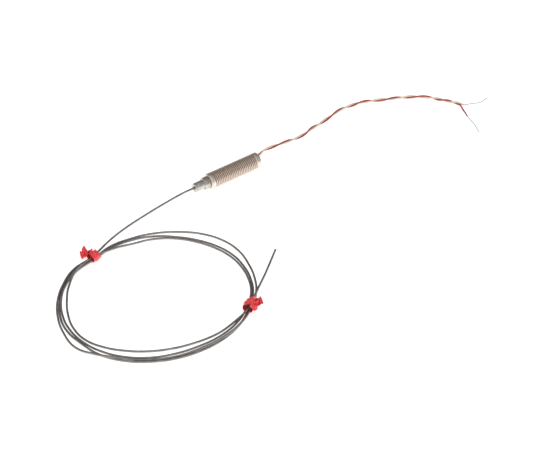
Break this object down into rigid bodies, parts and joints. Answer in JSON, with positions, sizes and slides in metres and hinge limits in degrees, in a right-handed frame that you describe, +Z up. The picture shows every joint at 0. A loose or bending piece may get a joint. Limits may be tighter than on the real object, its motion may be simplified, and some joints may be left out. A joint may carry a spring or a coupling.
{
  "type": "thermocouple",
  "caption": "Mineral-insulated thermocouple: threaded pot seal with a stepped nose, a thin metal sheath coiled and tied with two twist ties, and a twisted pair of bare-ended tails.",
  "frame": {"origin": "bottom centre of the pot, which lies on its side", "axes": "+X along the pot from its nose towards the tails, +Z up"},
  "size_m": [0.271, 0.1061, 0.0103],
  "materials": {
    "plated_metal": "nickel-plated, satin",
    "nose_metal": "satin",
    "braze": "dull",
    "sheath_steel": "annealed, satin",
    "mineral": "compacted powder",
    "resin": "cast resin",
    "seal_glass": "glazed bead",
    "positive_alloy": "bare wire",
    "negative_alloy": "bare wire",
    "splice_metal": "crimped ferrule",
    "sleeving": "fluoropolymer sleeving",
    "white_insulation": "fluoropolymer insulation",
    "red_insulation": "fluoropolymer insulation",
    "twisted_pair": "envelope of the red and white wires",
    "tie_plastic": "coated strip",
    "tie_wire": "thin galvanised wire"
  },
  "bodies": {
    "root": {"threaded_pot": "plated_metal", "nose_bush": "nose_metal", "braze_fillet": "braze", "potting_resin": "resin", "sheath_pot_end": "sheath_steel", "mineral_packing_pot_end": "mineral", "end_seal": "seal_glass", "conductor_positive": "positive_alloy", "conductor_negative": "negative_alloy", "splice_positive": "splice_metal", "splice_negative": "splice_metal", "splice_sleeve_positive": "sleeving", "splice_sleeve_negative": "sleeving", "tail_core_positive": "positive_alloy", "tail_core_negative": "negative_alloy", "tail_root_white": "white_insulation", "tail_root_red": "red_insulation", "sheath_lead": "sheath_steel", "sheath_coil": "sheath_steel", "sheath_tip": "sheath_steel", "tip_tube": "sheath_steel", "tip_cap": "sheath_steel", "mineral_packing_tip": "mineral", "hot_junction": "positive_alloy", "tip_conductor_positive": "positive_alloy", "tip_conductor_negative": "negative_alloy", "tail_pair": "twisted_pair", "tail_end_white": "white_insulation", "tail_end_red": "red_insulation", "bare_end_white": "positive_alloy", "bare_end_red": "negative_alloy", "tie_left_strip": "tie_plastic", "tie_left_wire": "tie_wire", "tie_right_strip": "tie_plastic", "tie_right_wire": "tie_wire"}
  },
  "joints": []
}
